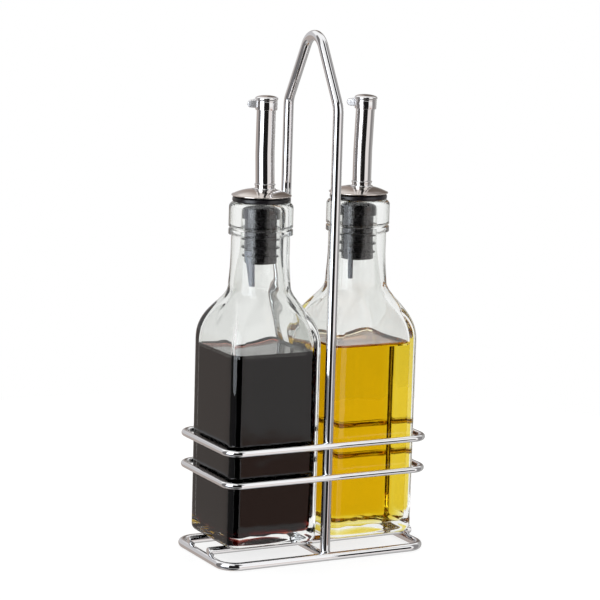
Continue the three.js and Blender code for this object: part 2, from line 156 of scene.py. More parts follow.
def ramp_ends(ramp, low, high):
    """Sets a colour ramp's two ends. Each is (position, colour)."""
    for element, (position, colour) in zip(ramp.color_ramp.elements, (low, high)):
        element.position = position
        element.color = (*colour, 1)


def output_surface(tree, shader, volume=None):
    out = node(tree, "OutputMaterial")
    link(tree, shader, out, 0, "Surface")
    if volume is not None:
        link(tree, volume, out, 0, "Volume")


# ------------------------------------------------------------------------------ materials


def chrome(name, colour, smooth, worn, wave):
    """Plated or polished metal: faint polishing marks, and roughness between smooth and worn."""
    material, tree = new_material(name)
    shader = node(tree, "BsdfPrincipled", {"Base Color": (*colour, 1), "Metallic": 1.0})
    link(tree, spread(tree, noise(tree, 180.0), smooth, worn), shader, 0, "Roughness")
    link(tree, bump(tree, noise(tree, 60.0, 2.0), wave, 0.0004), shader, 0, "Normal")
    output_surface(tree, shader)
    return material


def clear_glass():
    """Pressed glass: slightly wavy and faintly tinted, with painted shade that greys it where it is seen
    edge on.
    """
    material, tree = new_material("bottle_glass")
    shader = node(tree, "BsdfPrincipled", {"Roughness": 0.0, "IOR": 1.5, "Transmission Weight": 1.0})
    edge = node(tree, "LayerWeight", {"Blend": 0.5})
    # Painted shade: the ramp's near end is the glass's own faint tint, and its far end greys the glass
    # where it is seen edge on.
    tint_and_painted_edge_shade = node(tree, "ValToRGB")
    ramp_ends(tint_and_painted_edge_shade, (0.35, (0.91, 0.918, 0.905)), (1.0, (0.36, 0.39, 0.34)))
    link(tree, edge, tint_and_painted_edge_shade, "Facing", "Fac")
    link(tree, tint_and_painted_edge_shade, shader, "Color", "Base Color")
    link(tree, bump(tree, noise(tree, 55.0, 1.5), 0.12, 0.0006), shader, 0, "Normal")
    output_surface(tree, shader)
    return material


def wetted_glass():
    """The bottle's inside below the liquid's surface, where the liquid's own skin does the bending."""
    material, tree = new_material("wetted_glass")
    shader = node(tree, "BsdfTransparent", {"Color": (1, 1, 1, 1)})
    output_surface(tree, shader)
    return material


def liquid(name, level, colour, density):
    """Clear liquid that absorbs light. Its sides touch glass, and its top touches air."""
    material, tree = new_material(name)
    against_glass = node(tree, "BsdfGlass", {"Roughness": 0.0, "IOR": 0.98})
    against_air = node(tree, "BsdfGlass", {"Roughness": 0.0, "IOR": 1.47})
    coordinates = node(tree, "TexCoord")
    height = node(tree, "SeparateXYZ")
    link(tree, coordinates, height, "Object", 0)
    above = node(tree, "Math", operation="GREATER_THAN")
    above.inputs[1].default_value = level - SKIN * MM
    link(tree, height, above, "Z", 0)
    mix = node(tree, "MixShader")
    link(tree, above, mix, 0, 0)
    link(tree, against_glass, mix, 0, 1)
    link(tree, against_air, mix, 0, 2)
    volume = node(tree, "VolumeAbsorption", {"Color": (*colour, 1), "Density": density})
    output_surface(tree, mix, volume)
    return material


def moulded(name, dark, light, roughness, shine, translucency):
    """Moulded plastic with a fine satin grain and faint flow marks."""
    material, tree = new_material(name)
    shader = node(tree, "BsdfPrincipled", {
        "Specular IOR Level": shine, "Subsurface Weight": translucency, "Subsurface Scale": 0.002,
    })
    shade = node(tree, "ValToRGB")
    ramp_ends(shade, (0.35, dark), (0.7, light))
    link(tree, noise(tree, 120.0), shade, "Fac", "Fac")
    link(tree, shade, shader, "Color", "Base Color")
    grain = noise(tree, 2500.0)
    link(tree, spread(tree, grain, roughness - 0.06, roughness + 0.06), shader, 0, "Roughness")
    link(tree, bump(tree, grain, 0.15, 0.0001), shader, 0, "Normal")
    output_surface(tree, shader)
    return material


def floor_material():
    """Nearly white, with only a faint shadow."""
    material, tree = new_material("floor_white")
    diffuse = node(tree, "BsdfDiffuse")
    link(tree, spread(tree, noise(tree, 6.0), 0.28, 0.30), diffuse, 0, "Color")
    glow = node(tree, "Emission", {"Color": (1, 1, 1, 1), "Strength": 0.79})
    both = node(tree, "AddShader")
    link(tree, diffuse, both, 0, 0)
    link(tree, glow, both, 0, 1)
    output_surface(tree, both)
    return material


# ------------------------------------------------------------------------------ mesh helpers


def mesh_piece(name, points, faces, materials, crease=40, face_slots=None):
    mesh = bpy.data.meshes.new(name)
    mesh.from_pydata([Vector(p) * MM for p in points], [], faces)
    for material in materials:
        mesh.materials.append(material)
    if face_slots:
        mesh.polygons.foreach_set("material_index", face_slots)
    mesh.validate()
    mesh.shade_smooth()
    mesh.set_sharp_from_angle(angle=math.radians(crease))
    piece = bpy.data.objects.new(name, mesh)
    bpy.context.scene.collection.objects.link(piece)
    return piece


def loft(rings, closed=False):
    """Points and faces that join rings of equal length, with flat ends unless the last meets the first."""
    count = len(rings[0])
    points = [p for ring in rings for p in ring]
    faces = []
    for row in range(len(rings) if closed else len(rings) - 1):
        here = row * count
        there = (row + 1) % len(rings) * count
        for i in range(count):
            j = (i + 1) % count
            faces.append((here + i, here + j, there + j, there + i))
    if not closed:
        faces.append(tuple(reversed(range(count))))
        faces.append(tuple(range(len(points) - count, len(points))))
    return points, faces


def arc(cx, cy, radius, start, end, steps):
    """Points on an arc, in degrees."""
    made = []
    for step in range(steps + 1):
        angle = math.radians(start + (end - start) * step / steps)
        made.append((cx + radius * math.cos(angle), cy + radius * math.sin(angle)))
    return made


def turned(name, outline, materials, sides=72, closed=False, crease=40):
    """A piece turned about Z. The outline is a list of (radius, height); a closed one is a ring."""
    rings = []
    for radius, height in outline:
        rings.append([
            (radius * math.cos(2 * math.pi * i / sides), radius * math.sin(2 * math.pi * i / sides), height)
            for i in range(sides)
        ])
    points, faces = loft(rings, closed=closed)
    return mesh_piece(name, points, faces, materials, crease)


def lower_edge(radius, height, size, steps):
    """The rounded edge under a turned shape of this radius, whose underside is at this height."""
    return arc(radius - size, height + size, size, -90, 0, steps)


def upper_edge(radius, height, size, steps):
    """The rounded edge on top of a turned shape of this radius, whose top is at this height."""
    return arc(radius - size, height - size, size, 0, 90, steps)


def place(piece, matrix):
    piece.data.transform(matrix)
    return piece


def join_solids(piece, *others, operation="UNION"):
    """Adds the others to the piece, or cuts them from it, and removes them."""
    for other in others:
        change = piece.modifiers.new("solid", "BOOLEAN")
        change.operation = operation
        change.solver = "EXACT"
        change.material_mode = "TRANSFER"
        change.object = other
    view = bpy.context.evaluated_depsgraph_get()
    made = bpy.data.meshes.new_from_object(piece.evaluated_get(view))
    piece.modifiers.clear()
    piece.data = made
    made.shade_smooth()
    made.set_sharp_from_angle(angle=math.radians(35))
    for other in others:
        bpy.data.objects.remove(other)
    return piece


def finish_piece(piece, body, slot, *cad_nodes):
    if cad_nodes:
        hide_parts(*cad_nodes)
    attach(piece, body)


# ------------------------------------------------------------------------------ wire work

WIRE_SIDES = 28
WIRE_END_ROUND = 0.35
END_SHARES = (0, 0.02, 0.5)  # rows of points along a straight run, close together at its end


def wire(name, path, radius, across, material, closed=False):
    """A bent wire. path lies in the plane whose normal is across. Open ends are rounded off a little."""
    rings = []
    count = len(path)
    path = [Vector(p) for p in path]

    def ring(centre, along, size):
        side = across.cross(along).normalized()
        return [
            centre + size * (math.cos(t) * side + math.sin(t) * across)
            for t in (2 * math.pi * i / WIRE_SIDES for i in range(WIRE_SIDES))
        ]

    for i, centre in enumerate(path):
        before = path[i - 1] if closed or i > 0 else centre
        after = path[(i + 1) % count] if closed or i < count - 1 else centre
        rings.append(ring(centre, (after - before).normalized(), radius))
    if not closed:
        first = (path[1] - path[0]).normalized()
        last = (path[-1] - path[-2]).normalized()
        size = WIRE_END_ROUND
        rounding = arc(radius - size, 0, size, 90, 0, 4)
        lead = [ring(path[0] + first * (size - h), first, r) for r, h in rounding]
        tail = [ring(path[-1] - last * (size - h), last, r) for r, h in reversed(rounding)]
        rings = lead + rings[1:-1] + tail
    points, faces = loft(rings, closed=closed)
    return mesh_piece(name, points, faces, [material], crease=50)


def rounded_rectangle(length, depth, corner, height):
    """The centre line of a bent wire loop."""
    x = length / 2 - corner
    y = depth / 2 - corner
    path = []
    for cx, cy, start in ((x, -y, -90), (x, y, 0), (-x, y, 90), (-x, -y, 180)):
        path += arc(cx, cy, corner, start, start + 90, 14)
    return [(px, py, height) for px, py in path]


def box_mm(name):
    low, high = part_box(name)
    return low / MM, high / MM


def wire_loop(name, corner, material):
    low, high = box_mm(name)
    radius = (high.z - low.z) / 2
    length = high.x - low.x - 2 * radius
    depth = high.y - low.y - 2 * radius
    path = rounded_rectangle(length, depth, corner, (low.z + high.z) / 2)
    return wire(name + "_wire", path, radius, Vector((0, 0, 1)), material, closed=True)


def straight_wire(name, axis, material, reach=0.0):
    """A straight rod that fills its CAD node's box, and reaches past the box's ends by reach."""
    low, high = box_mm(name)
    radius = (high.z - low.z) / 2
    middle = (low + high) / 2
    start, end = middle.copy(), middle.copy()
    start[axis] = low[axis] - reach
    end[axis] = high[axis] + reach
    steps = [start.lerp(end, share) for share in (*END_SHARES, 0.98, 1)]
    return wire(name + "_wire", steps, radius, Vector((0, 0, 1)), material)


def handle_wire(material):
    low, high = box_mm("handle")
    radius = (high.x - low.x) / 2
    span = (high.y - low.y) / 2 - radius
    top = high.z - radius
    half = [(span, low.z + share * (HANDLE_SHOULDER - low.z)) for share in END_SHARES]
    bend = HANDLE_SHOULDER_RADIUS
    half += arc(span - bend, HANDLE_SHOULDER, bend, 0, HANDLE_LEAN, 10)
    half += arc(0, top - HANDLE_APEX_RADIUS, HANDLE_APEX_RADIUS, HANDLE_LEAN, 90, 16)
    mirrored = [(-y, z) for y, z in reversed(half[:-1])]
    path = [(0, y, z) for y, z in half + mirrored]
    return wire("handle_wire", path, radius, Vector((1, 0, 0)), material)


def weld(name, centre, size, material):
    """A smooth bead of weld metal, a little uneven, where two wires meet."""
    rings = []
    for step in range(1, 12):
        tilt = math.pi * step / 12 - math.pi / 2
        row = []
        for i in range(20):
            turn = 2 * math.pi * i / 20
            swell = 1 + 0.05 * math.sin(3 * turn + centre[1]) * math.cos(2 * tilt)
            flat = math.cos(tilt)
            unit = Vector((flat * math.cos(turn), flat * math.sin(turn), math.sin(tilt)))
            row.append(Vector(centre) + swell * Vector(a * b for a, b in zip(unit, size)))
        rings.append(row)
    points, faces = loft(rings)
    return mesh_piece(name, points, faces, [material], crease=80)


HANDLE_WIRE = 2.5  # the handle's wire radius
CROSS_ROD_REACH = 1.0  # the cross rod runs this far into its welds
SIDES = (("front", -1), ("back", 1))

# Half sizes of the weld beads, and how far each stands from the wire that it is measured from.
RING_WELD = (2.7, 1.5, 1.35)
RING_WELD_OUT = 1.9
FOOT_WELD = (2.6, 2.4, 1.6)
FOOT_WELD_OUT = 0.6
FOOT_WELD_HEIGHT = 3.9
CROSS_WELD = (1.9, 1.3, 1.7)
CROSS_WELD_IN = 4.4
CROSS_WELD_HEIGHT = 2.0
RAIL_WELD = (1.6, 1.7, 1.0)
RAIL_WELD_IN = 2.3
RAIL_WELD_HEIGHT = 4.2


def weld_beads():
    """The name, middle and half sizes of every weld bead."""
    upright = box_mm("handle")[1].y - HANDLE_WIRE
    frame_low, frame_high = box_mm("base_frame")
    beads = []
    for ring in ("lower_ring", "upper_ring"):
        low, high = box_mm(ring)
        for side, sign in SIDES:
            at = (0, sign * (upright + RING_WELD_OUT), (low.z + high.z) / 2)
            beads.append((f"weld_{ring}_{side}", at, RING_WELD))
    for side, sign in SIDES:
        at = (0, sign * (upright + FOOT_WELD_OUT), FOOT_WELD_HEIGHT)
        beads.append((f"weld_foot_{side}", at, FOOT_WELD))
        at = (0, sign * (frame_high.y - CROSS_WELD_IN), CROSS_WELD_HEIGHT)
        beads.append((f"weld_cross_{side}", at, CROSS_WELD))
    for rail in ("front_rail", "back_rail"):
        low, high = box_mm(rail)
        ends = (("left", frame_low.x + RAIL_WELD_IN), ("right", frame_high.x - RAIL_WELD_IN))
        for end, x in ends:
            at = (x, (low.y + high.y) / 2, RAIL_WELD_HEIGHT)
            beads.append((f"weld_{rail}_{end}", at, RAIL_WELD))
    return beads


def make_rack(metal):
    corners = {"base_frame": FRAME_CORNER, "lower_ring": RING_CORNER, "upper_ring": RING_CORNER}
    for name, corner in corners.items():
        finish_piece(wire_loop(name, corner, metal), "rack", "wire_chrome", name)
    for name in ("front_rail", "back_rail"):
        finish_piece(straight_wire(name, 0, metal), "rack", "wire_chrome", name)
    cross_rod = straight_wire("cross_rod", 1, metal, CROSS_ROD_REACH)
    finish_piece(cross_rod, "rack", "wire_chrome", "cross_rod")
    finish_piece(handle_wire(metal), "rack", "wire_chrome", "handle")
    for name, at, size in weld_beads():
        finish_piece(weld(name, at, size, metal), "rack", "wire_chrome")


# ------------------------------------------------------------------------------ bottles

QUARTER = 22  # points in a quarter of a ring
FLAT_TURN = 15.0  # a quarter's flat takes this many degrees at each end, and the corner the rest
SHOULDER_STEPS = 22
SHOULDER_SKEW = 1.28  # over 1 puts more of the slope into the shoulder's upper part
SHOULDER_ROUNDING = 2.76  # over 1 keeps the shoulder square for longer
BODY_MIDDLE = 60
PUNT_SHARES = (0.15, 0.3, 0.45, 0.6, 0.75, 0.88)
FLOOR_SHARES = (0.85, 0.7, 0.55, 0.4, 0.25, 0.1)
NECK_OUTSIDE = ((14.85, 138), (14.5, 142.5), (14.3, 146.5), (NECK, 151), (NECK, 156.2))
NECK_INSIDE = (
    (BORE, 165), (BORE + 0.02, 157), (BORE + 0.15, 151), (BORE + 0.6, 145), (BORE + 1.3, 138))
MOUTH_EDGE = 2.4
BORE_EDGE = 1.6
GROOVE_DEPTH = 0.85
BEAD_EDGE = 0.4
LOBE_HEIGHTS = ((107, 8), (150, 10))  # where the lobes begin and end, and over what height they fade
RIPPLE_HEIGHTS = (7, 5)  # the same for the floor's ripple, above the floor


def square_point(half, corner, quarter, turn):
    """The point of a rounded square that belongs to a turn of 0 to 90 degrees in its quarter."""
    if turn < FLAT_TURN:
        x, y = half, (half - corner) * turn / FLAT_TURN
    elif turn > 90 - FLAT_TURN:
        x, y = (half - corner) * (90 - turn) / FLAT_TURN, half
    else:
        angle = math.radians((turn - FLAT_TURN) / (90 - 2 * FLAT_TURN) * 90)
        x = half - corner + corner * math.cos(angle)
        y = half - corner + corner * math.sin(angle)
    for _ in range(quarter):
        x, y = -y, x
    return x, y


def squared_ring(level, centre_x):
    """One ring of a bottle. level is (height, half width, corner radius, roundness 0 to 1)."""
    height, half, corner, roundness = level
    corner = min(corner, half)
    ring = []
    for i in range(4 * QUARTER):
        turn = 90 * (i % QUARTER) / QUARTER
        sx, sy = square_point(half, corner, i // QUARTER, turn)
        angle = 2 * math.pi * i / (4 * QUARTER)
        x = sx + (half * math.cos(angle) - sx) * roundness
        y = sy + (half * math.sin(angle) - sy) * roundness
        ring.append((centre_x + x, y, height))
    return ring


def smoothstep(t):
    t = min(max(t, 0), 1)
    return t * t * (3 - 2 * t)


def uneven(ring, centre_x):
    """Pressed glass is uneven inside: faint lobes round the neck's foot and a rippled floor."""
    height = ring[0][2]
    (start, start_fade), (end, end_fade) = LOBE_HEIGHTS
    lobes = LOBES * smoothstep((height - start) / start_fade) * smoothstep((end - height) / end_fade)
    reach, fade = RIPPLE_HEIGHTS
    ripple = RIPPLE * smoothstep((FLOOR + reach - height) / fade)
    made = []
    for x, y, z in ring:
        across = x - centre_x
        angle = math.atan2(y, across)
        grow = 1 + lobes * math.sin(5 * angle + 0.09 * z) / max(math.hypot(across, y), 1)
        lift = ripple * math.sin(0.5 * across + 0.8) * math.cos(0.42 * y + 0.4)
        made.append((centre_x + across * grow, y * grow, z + lift))
    return made


def shoulder_level(share, body, corner, neck, start, end):
    """The level at a share of the way up the shoulder, which turns from square to round."""
    eased = smoothstep(share ** SHOULDER_SKEW)
    roundness = eased ** SHOULDER_ROUNDING
    return (start + (end - start) * share, body + (neck - body) * eased, corner, roundness)


def square_levels(points, corner):
    """Levels of a rounded square from points of (half width, height)."""
    return [(z, half, corner, 0) for half, z in points]


def round_levels(points):
    """Levels of a circle from points of (radius, height)."""
    return [(z, half, half, 1) for half, z in points]


def collar_outline(mouth):
    """The collar from its underside: a bead, a groove and a wall that ends in the rounded mouth."""
    groove = COLLAR - GROOVE_DEPTH
    edge = COLLAR - BEAD_EDGE
    outline = arc(NECK + 0.5, COLLAR_UNDER - 0.5, 0.5, -180, -270, 5)
    outline += lower_edge(COLLAR, COLLAR_UNDER, 0.3, 4)
    outline += arc(edge, COLLAR_UNDER + 2.4, BEAD_EDGE, 0, 60, 4)
    outline += [(groove, COLLAR_UNDER + 3.2), (groove, COLLAR_UNDER + 3.4)]
    outline += arc(edge, COLLAR_UNDER + 4.1, BEAD_EDGE, -60, 0, 4)
    outline += [(COLLAR, mouth - 4)]
    outline += upper_edge(COLLAR, mouth, MOUTH_EDGE, 8)
    return outline


def bottle_outside(half, foot, mouth):
    standing = half - FOOT_RADIUS
    base = [(0.4, foot + PUNT)]
    base += [(share * standing, foot + PUNT * (1 - share ** 2)) for share in PUNT_SHARES]
    base += [(standing - 1.2, foot + 0.1)]
    base += lower_edge(half, foot, FOOT_RADIUS, 8)
    base += [(half, foot + 20), (half, BODY_MIDDLE)]
    shoulder = [
        shoulder_level(i / SHOULDER_STEPS, half, BODY_CORNER, NECK_ROOT, *SHOULDER)
        for i in range(SHOULDER_STEPS + 1)]
    neck = [*NECK_OUTSIDE, *collar_outline(mouth)]
    return square_levels(base, BODY_CORNER) + shoulder + round_levels(neck)


def inner_half(half):
    return half - WALL


def bottle_inside(half, mouth, level):
    """The levels above the liquid's edge and those below it, from the mouth down."""
    inner = inner_half(half)
    start, end = SHOULDER[0] - INNER_DROP, SHOULDER[1] - INNER_DROP
    throat = arc(BORE + BORE_EDGE, mouth - BORE_EDGE, BORE_EDGE, 90, 180, 6)
    throat += NECK_INSIDE
    shoulder = [
        shoulder_level(i / SHOULDER_STEPS, inner, INNER_CORNER, NECK_ROOT - WALL, start, end)
        for i in range(SHOULDER_STEPS, 0, -1)]
    dry = round_levels(throat) + shoulder
    dry = [row for row in dry if row[0] > level + MENISCUS + 0.4]
    wall = [(inner, level + MENISCUS), (inner, level), (inner, BODY_MIDDLE), (inner, FLOOR + 12)]
    return dry, square_levels(wall + floor_outline(inner, 0), INNER_CORNER)


def floor_outline(inner, lift):
    """The inside of the bottle's floor, from the wall to the middle, as (half width, height)."""
    flat = inner - FLOOR_RADIUS
    outline = arc(flat, FLOOR + FLOOR_RADIUS + lift, FLOOR_RADIUS, 0, -90, 8)
    for share in FLOOR_SHARES:
        rise = FLOOR_RISE * (1 - share ** 2)
        outline.append((share * flat, FLOOR + rise + lift))
    outline.append((0.3, FLOOR + FLOOR_RISE + lift))
    return outline


def bottle_piece(name, glass, wetted):
    low, high = box_mm(f"{name}_bottle")
    level = box_mm(f"{name}_fill")[1].z
    half = (high.x - low.x) / 2
    centre = (high.x + low.x) / 2
    outside = bottle_outside(half, low.z, high.z)
    dry, wet = bottle_inside(half, high.z, level)
    rings = [squared_ring(row, centre) for row in outside]
    rings += [uneven(squared_ring(row, centre), centre) for row in dry + wet]
    points, faces = loft(rings)
    first_wet = (len(outside) + len(dry)) * 4 * QUARTER
    slots = [1 if min(face) >= first_wet else 0 for face in faces]
    return mesh_piece(
        f"{name}_bottle_glass", points, faces, [glass, wetted], crease=60, face_slots=slots)


def fill_piece(name, material):
    """The liquid, a hair clear of the glass. Its edge climbs the wall by MENISCUS."""
    low, high = box_mm(f"{name}_bottle")
    level = box_mm(f"{name}_fill")[1].z
    inner = inner_half((high.x - low.x) / 2) - FILM
    centre = (high.x + low.x) / 2
    outline = list(reversed(floor_outline(inner, FILM)))
    outline += [(inner, FLOOR + 12), (inner, BODY_MIDDLE), (inner, level - 0.4), (inner, level + MENISCUS)]
    for step in range(1, 9):
        back = 0.35 * step
        climb = MENISCUS * math.exp(-((back / MENISCUS_WIDTH) ** 1.5))
        outline.append((inner - back, level + climb))
    outline += [(inner - 5, level), (2, level)]
    levels = square_levels(outline, INNER_CORNER)
    points, faces = loft([uneven(squared_ring(row, centre), centre) for row in levels])
    return mesh_piece(f"{name}_liquid", points, faces, [material], crease=35)


# ------------------------------------------------------------------------------ pourers

AXIS = 0.01  # the outline of a turned solid begins and ends this far from its axis
CHANNEL = 3.1  # radius of the way through the stopper and the ferrule

# The stopper. Heights are above the table and radii from the bottle's axis.
CORE = 7.8
CORE_UNDER = 144.7
FINS = ((148.5, 8.8), (152.7, 9.3), (156.9, 9.3), (161.2, 9.3))  # height and radius
FIN_HALF = 0.4
FIN_EDGE = 0.3
FIN_ROOT = ((0, 0.62), (0.15, 0.5))  # out from the core, and half the fin's thickness there
PLUG = 9.2
PLUG_UNDER = 166.6
PLUG_TOP = 172.5
WAIST = 8.4
RIM = 14.1
RIM_UNDER = 174.3
RIM_HEIGHT = 2.3
HUB = 6.1
HUB_TOP = 179.2
COUNTERBORE = 4.6
COUNTERBORE_FOOT = 168.4
CUT_FOOT = 130
CUT_TOP = 190

VENT_WALL = 0.45
VENT_TIP_EDGE = 0.3
VENT_ROWS = 8
VENT_SIDES = 28
VENT_ROOM = 0.15  # round the vent, in the stopper's groove

DOME = 14.6
DOME_HOLE = 4.6
DOME_UNDER = 177.1
DOME_EDGE = 0.35
DOME_TOP = 180.3
DOME_FLATNESS = 0.85
DOME_SHEET = 0.6
DOME_ROLL = 0.32
DOME_STEPS = 16

STEM = 4.0  # the ferrule's part inside the stopper
STEM_UNDER = 168.9
FLANGE = 5.55
FLANGE_UNDER = 180.0
FLANGE_EDGE = 0.4
FERRULE_WAIST = ((4.72, 0.95), (4.66, 1.5))  # radius, and height above the flange's underside
FERRULE_BEAD = (4.75, 182.7, 0.35)  # where the bead is centred, and its radius
SLEEVE = 3.75  # the ferrule's part inside the tube
SLEEVE_FOOT = 183.1
SLEEVE_TOP = 187.1

TUBE = 4.6
TUBE_WALL = 0.55
TUBE_ROWS = (0, 0.15, 3, 8, 11, 12.7, 13.5, 14.3, 15.1, 15.9, 18, 24, 30, 36, TUBE_LENGTH)
BEND_SOFTNESS = 1.6

# The head, its ears and the cap. Heights are above the tube's top.
HEAD = 5.3
HEAD_UNDER = -2.1
HEAD_TOP = 2.6
HEAD_EDGE = 0.2
HEAD_GROOVE = ((HEAD, 1.5), (5.22, 1.65), (5.22, 1.85), (HEAD, 2.0))
HEAD_BORE = 4.9
HEAD_STOP = 0.3
HEAD_MOUTH = 3.9
EAR = (1.8, -4.72, -1.2, 2.4)  # radius round the pin, where it ends at the head, low, high
EAR_SPANS = ((-2.4, -1.5), (1.5, 2.4))
EAR_HOLE = 0.78
PLATE_EDGE = ((0, 0.55), (0.06, 0.3), (0.2, 0.08), (0.35, 0))  # depth from the side, and inset
PIN = 0.75
PIN_HALF = 2.6
PIN_EDGE = 0.15
PIN_MATRIX = Matrix.Translation((-PIN_OUT * MM, 0, PIN_HEIGHT * MM)) @ Matrix.Rotation(math.pi / 2, 4, "X")
HOLE_HALF = 5  # half the length of what cuts a pin's hole
LID = 5.6
LID_UNDER = 2.9
LID_EDGE = 0.2
LID_WALL = 0.45
CROWN = 5.55
CROWN_FOOT = 0.55
CROWN_HEIGHT = 1.5
CROWN_ANGLES = (6, 14, 24, 36, 48, 60, 72, 82)
TONGUE = (1.6, -4.2, LID_UNDER + 0.05, LID_UNDER + 0.95)  # as EAR
TONGUE_HALF = 1.2
TONGUE_HOLE = 0.95


def fin_outline(height, radius):
    """A thin fin, a little thicker where it leaves the core."""
    outline = [(CORE + out, height - half) for out, half in FIN_ROOT]
    outline += [(radius - FIN_EDGE, height - FIN_HALF)]
    outline += lower_edge(radius, height - FIN_HALF, FIN_EDGE, 3)
    outline += upper_edge(radius, height + FIN_HALF, FIN_EDGE, 3)
    outline += [(CORE + out, height + half) for out, half in reversed(FIN_ROOT)]
    return outline


def stopper_outline():
    outline = [(AXIS, CORE_UNDER)]
    outline += lower_edge(CORE, CORE_UNDER, 0.7, 4)
    for height, radius in FINS:
        outline += fin_outline(height, radius)
    outline += [(CORE, PLUG_UNDER - 0.2), (CORE + 0.2, PLUG_UNDER)]
    outline += lower_edge(PLUG, PLUG_UNDER, 0.4, 3)
    outline += upper_edge(PLUG, PLUG_TOP, 0.5, 3)
    outline += [(WAIST, PLUG_TOP + 0.2), (WAIST, RIM_UNDER), (RIM - 0.7, RIM_UNDER)]
    outline += lower_edge(RIM, RIM_UNDER, 0.6, 4)
    outline += upper_edge(RIM, RIM_UNDER + RIM_HEIGHT, 0.8, 4)
    outline += [(HUB, HUB_TOP), (AXIS, HUB_TOP)]
    return outline


def vent_matrix(vent):
    around = math.radians(vent["place"])
    at = Vector((math.cos(around), math.sin(around), 0)) * VENT_REACH * MM
    return Matrix.Translation(at) @ Matrix.Rotation(math.radians(vent["turn"]), 4, "Z")


def vent_rings(vent, top, tip, extra):
    """Rings down the vent's slanting, tapering tube. extra is added to its half widths."""
    rings = []
    for step in range(VENT_ROWS + 1):
        share = step / VENT_ROWS
        width = vent["width"] + (vent["tip_width"] - vent["width"]) * share
        thin = width * vent["flatness"]
        shift = VENT_SHIFT * (share - 0.5)
        height = top + (tip - top) * share
        row = []
        for i in range(VENT_SIDES):
            turn = 2 * math.pi * i / VENT_SIDES
            row.append((shift + (width + extra) * math.cos(turn), (thin + extra) * math.sin(turn), height))
        rings.append(row)
    return rings


def vent_piece(name, vent, material):
    """An open tube whose rim is rounded over at the tip."""
    edge, tip = VENT_TIP_EDGE, vent["tip"]
    outer = vent_rings(vent, VENT_TOP, tip + edge, 0)
    rounding = arc(0, 0, edge, 30, 90, 2)
    lip = [vent_rings(vent, VENT_TOP, tip + edge - h, r - edge)[-1] for r, h in rounding]
    inner = list(reversed(vent_rings(vent, VENT_TOP - 1, tip, -VENT_WALL)))
    points, faces = loft(outer + lip + inner)
    return place(mesh_piece(f"{name}_vent", points, faces, [material]), vent_matrix(vent))


def stopper_piece(name, vent, material):
    """The moulding, less the pouring channel, the ferrule's counterbore and the vent's groove."""
    body = turned(f"{name}_stopper_moulding", stopper_outline(), [material], crease=50)
    cutters = []
    for cut, radius, foot in (
            ("cut_channel", CHANNEL, CUT_FOOT), ("cut_counterbore", COUNTERBORE, COUNTERBORE_FOOT)):
        cutter = turned(cut, [(radius, foot), (radius, CUT_TOP)], [material], sides=40)
        cutters.append(place(cutter, Matrix.Translation((SPOUT_OFFSET * MM, 0, 0))))
    points, faces = loft(vent_rings(vent, VENT_TOP + 0.3, vent["tip"], VENT_ROOM))
    cutters.append(place(mesh_piece("cut_groove", points, faces, [material]), vent_matrix(vent)))
    return join_solids(body, *cutters, operation="DIFFERENCE")


def dome_height(share):
    """The dome's height at a share of the way from its hole to its rim."""
    foot = DOME_UNDER + DOME_EDGE
    return foot + (DOME_TOP - foot) * math.cos(share * math.pi / 2) ** DOME_FLATNESS


def dome_piece(name, material):
    """Thin spun cover with a rolled edge. Its hole takes the ferrule."""
    shares = [i / DOME_STEPS for i in range(DOME_STEPS)]
    outer = [(DOME_HOLE + (DOME - DOME_HOLE) * share, dome_height(share)) for share in shares]
    outline = outer + arc(DOME - DOME_ROLL, DOME_UNDER + 0.34, DOME_ROLL, 60, -90, 6)
    outline += [(r, z - DOME_SHEET) for r, z in reversed(outer[:-1])]
    return turned(f"{name}_dome", outline, [material], closed=True, sides=96)


def ferrule_piece(name, material):
    outline = [(CHANNEL, STEM_UNDER), (STEM, STEM_UNDER), (STEM, FLANGE_UNDER)]
    outline += arc(FLANGE - FLANGE_EDGE, FLANGE_UNDER + FLANGE_EDGE, FLANGE_EDGE, -90, 70, 5)
    outline += [(radius, FLANGE_UNDER + rise) for radius, rise in FERRULE_WAIST]
    outline += arc(*FERRULE_BEAD, -30, 90, 5)
    outline += [(SLEEVE, SLEEVE_FOOT), (SLEEVE, SLEEVE_TOP), (CHANNEL, SLEEVE_TOP)]
    return turned(f"{name}_ferrule_ring", outline, [material], closed=True)


def bend_shift(height):
    """How far the tube's axis stands aside at a height above its foot: straight, a short bend, straight."""
    beyond = height - BEND_HEIGHT
    if beyond <= -BEND_SOFTNESS:
        return 0.0
    if beyond <= BEND_SOFTNESS:
        beyond = (beyond + BEND_SOFTNESS) ** 2 / (4 * BEND_SOFTNESS)
    return beyond * math.tan(BEND)


def tube_piece(name, material):
    outline = [(TUBE, z) for z in TUBE_ROWS] + [(TUBE - TUBE_WALL, z) for z in reversed(TUBE_ROWS)]
    tube = turned(f"{name}_tube", outline, [material], closed=True)
    for vertex in tube.data.vertices:
        vertex.co.x += bend_shift(vertex.co.z / MM) * MM
    return tube


def hinge_bar(name, outline, material):
    """A piece turned about the axis of the hinge."""
    return place(turned(name, outline, [material], sides=32), PIN_MATRIX)


def hinge_plate(name, profile, from_y, to_y, material):
    """A plate with a round end at the hinge pin, with softened edges."""
    radius, reach, low, high = profile
    outline = arc(-PIN_OUT, PIN_HEIGHT, radius, 90, 270, 16) + [(reach, low), (reach, high)]
    middle = ((-PIN_OUT + reach) / 2, PIN_HEIGHT)

    def ring(y, inset):
        row = []
        for x, z in outline:
            gap = Vector((x - middle[0], z - middle[1]))
            kept = gap * (1 - inset / gap.length)
            row.append((middle[0] + kept.x, y, middle[1] + kept.y))
        return row

    rows = [ring(from_y + depth, inset) for depth, inset in PLATE_EDGE]
    rows += [ring(to_y - depth, inset) for depth, inset in reversed(PLATE_EDGE)]
    points, faces = loft(rows)
    return mesh_piece(name, points, faces, [material])


